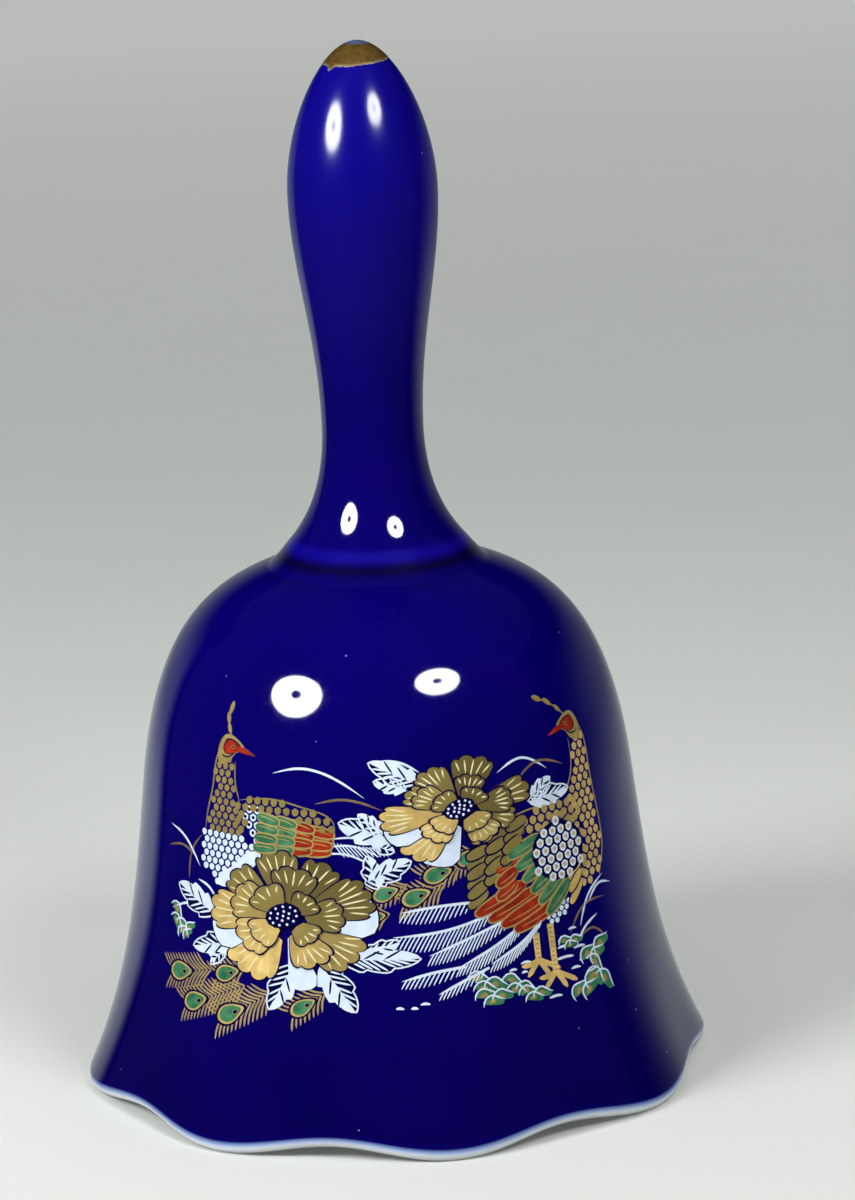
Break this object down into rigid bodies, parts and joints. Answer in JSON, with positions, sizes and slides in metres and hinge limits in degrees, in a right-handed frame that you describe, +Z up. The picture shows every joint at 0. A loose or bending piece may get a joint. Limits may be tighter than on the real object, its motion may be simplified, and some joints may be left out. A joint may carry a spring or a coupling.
{
  "type": "hand bell",
  "caption": "Glazed porcelain hand bell with a lobed rim, a hollow handle, and a porcelain ball clapper hung inside on a wire and chain links.",
  "frame": {"origin": "on the bell's axis, on the plane of the ground lobes of the rim that the bell stands on", "axes": "+Z up along the handle, -Y towards the painted side, +X to the right as the painted side is seen"},
  "size_m": [0.081, 0.081, 0.134],
  "materials": {
    "glaze": "gloss",
    "plaster": "matt",
    "wire": "satin",
    "ball_glaze": "gloss"
  },
  "bodies": {
    "bell": {"bell_body": "glaze", "handle": "glaze", "crown_plug": "plaster", "hanger_staple": "wire"},
    "upper_link": {"upper_link": "wire"},
    "lower_link": {"lower_link": "wire"},
    "clapper_wire": {"clapper_wire": "wire"},
    "clapper_ball": {"clapper_ball": "ball_glaze"}
  },
  "joints": [
    {"name": "link_twist", "type": "hinge", "parent": "bell", "child": "upper_link", "pos_m": [0, 0, 0.0606], "axis": [0, 0, 1], "range_deg": [-40, 40]},
    {"name": "chain_swing", "type": "hinge", "parent": "upper_link", "child": "lower_link", "pos_m": [0, 0, 0.0543], "axis": [0, 1, 0], "range_deg": [-41.5, 41.5]},
    {"name": "clapper_rock", "type": "hinge", "parent": "lower_link", "child": "clapper_wire", "pos_m": [0, 0, 0.048], "axis": [1, 0, 0], "range_deg": [-5, 5]},
    {"name": "ball_spin", "type": "hinge", "parent": "clapper_wire", "child": "clapper_ball", "pos_m": [0, 0, 0.019], "axis": [0, 0, 1], "continuous": true}
  ]
}
